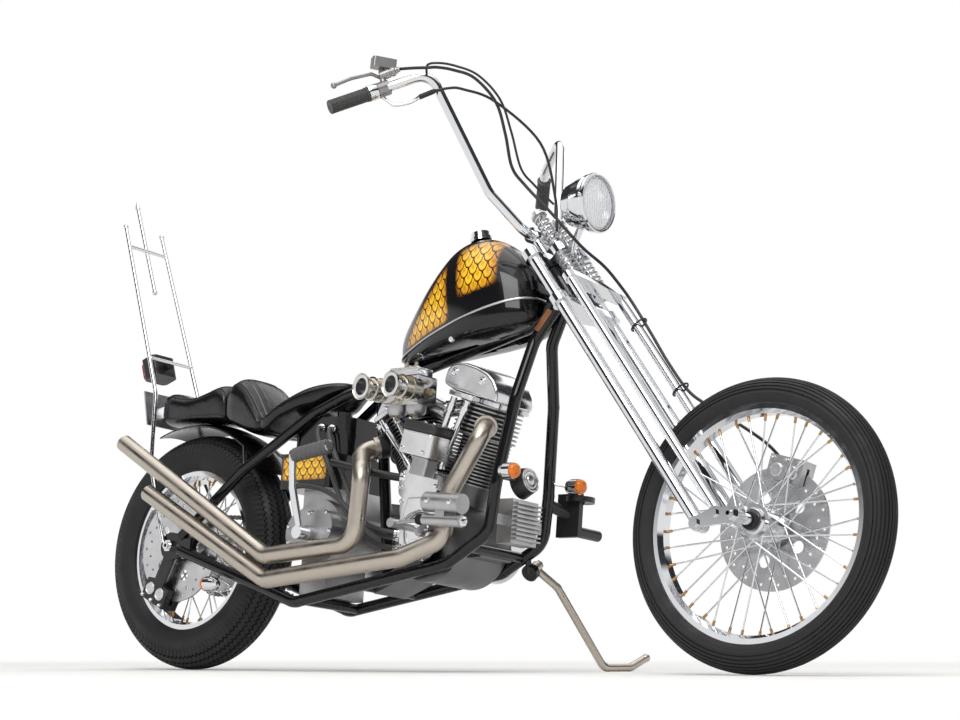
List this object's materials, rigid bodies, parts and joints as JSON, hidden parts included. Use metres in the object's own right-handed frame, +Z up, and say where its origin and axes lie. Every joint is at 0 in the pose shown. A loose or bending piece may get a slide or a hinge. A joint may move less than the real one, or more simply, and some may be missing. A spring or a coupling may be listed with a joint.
{
  "type": "chopper motorcycle",
  "caption": "Long rigid-frame chopper motorcycle with a springer fork, wire wheels, V-twin engine, upswept exhaust pipes and tall sissy bar, parked on its side stand.",
  "frame": {"origin": "on the ground, below the middle of the parked motorcycle's bounding box", "axes": "+X forward towards the front wheel, +Y to the rider's left, +Z up; the motorcycle leans to its left on the side stand"},
  "size_m": [2.5823, 0.9257, 1.5364],
  "materials": {
    "frame_black": "gloss black paint",
    "gloss_black": "gloss black paint with gold scale panels",
    "tank_paint": "gloss black paint with gold and orange scale panels",
    "tyre_rubber": "black ribbed rubber",
    "wheel_chrome": "chromed steel rim and spokes",
    "disc_steel": "ground steel",
    "chain_steel": "oiled steel",
    "bright_chrome": "polished chrome",
    "grip_rubber": "ribbed black rubber",
    "cast_aluminium": "satin cast aluminium",
    "polished_aluminium": "polished aluminium",
    "barrel_black": "satin black with bright fin edges",
    "lamp_glass": "clear fluted glass",
    "lamp_housing": "dark housing with coloured lens",
    "pipe_nickel": "satin warm nickel",
    "seat_leather": "black padded leather",
    "cable_black": "black sheath"
  },
  "bodies": {
    "chassis": {"frame_head": "frame_black", "frame_rails": "frame_black", "frame_stays": "frame_black", "frame_crossmembers": "frame_black", "rear_axle": "bright_chrome", "drive_chain": "chain_steel", "fuel_tank": "tank_paint", "fuel_cap": "bright_chrome", "seat": "seat_leather", "rear_fender": "gloss_black", "sissy_bar": "bright_chrome", "tail_lamp": "lamp_housing", "plate_bracket": "bright_chrome", "crankcase": "cast_aluminium", "cam_cover": "polished_aluminium", "cylinders": "barrel_black", "cylinder_heads": "cast_aluminium", "rocker_boxes": "polished_aluminium", "pushrod_tubes": "bright_chrome", "carburettor": "cast_aluminium", "magneto": "cast_aluminium", "exhaust_front": "pipe_nickel", "exhaust_rear": "pipe_nickel", "gearbox": "cast_aluminium", "kick_lever": "bright_chrome", "primary_cover": "polished_aluminium", "oil_tank": "gloss_black", "electrics_box": "gloss_black", "brake_master": "cast_aluminium", "foot_control": "frame_black", "horn": "bright_chrome", "regulator": "cast_aluminium", "indicators": "lamp_housing", "rear_caliper": "cast_aluminium"},
    "fork": {"fork_rigid_legs": "bright_chrome", "fork_bridges": "bright_chrome", "fork_front_legs": "bright_chrome", "fork_springs": "bright_chrome", "fork_rockers": "bright_chrome", "front_axle": "bright_chrome", "handlebar": "bright_chrome", "hand_grips": "grip_rubber", "hand_controls": "cast_aluminium", "headlight_shell": "bright_chrome", "headlight_lens": "lamp_glass", "front_caliper": "cast_aluminium", "throttle_cable": "cable_black", "brake_hose": "cable_black", "switch_wire": "cable_black"},
    "front_wheel_set": {"front_tyre": "tyre_rubber", "front_wheel": "wheel_chrome", "front_disc": "disc_steel"},
    "rear_wheel_set": {"rear_tyre": "tyre_rubber", "rear_wheel": "wheel_chrome", "rear_disc": "disc_steel", "rear_sprocket": "disc_steel"},
    "stand": {"side_stand": "frame_black"}
  },
  "joints": [
    {"name": "steering", "type": "hinge", "parent": "chassis", "child": "fork", "pos_m": [0.86924, -0.11044, 0.28155], "axis": [-0.6225, 0.0818, 0.7783], "range_deg": [-33.5, 26.5]},
    {"name": "front_wheel_spin", "type": "hinge", "parent": "fork", "child": "front_wheel_set", "pos_m": [0.94735, -0.09788, 0.34271], "axis": [-0.0478, 0.9887, -0.1421], "continuous": true},
    {"name": "rear_wheel_spin", "type": "hinge", "parent": "chassis", "child": "rear_wheel_set", "pos_m": [-0.8825, -0.10634, 0.32059], "axis": [0, 0.9945, -0.1045], "continuous": true},
    {"name": "side_stand_fold", "type": "hinge", "parent": "chassis", "child": "stand", "pos_m": [0.1825, 0.02699, 0.25931], "axis": [-0.063, 0.876, 0.4782], "range_deg": [0, 80]}
  ]
}
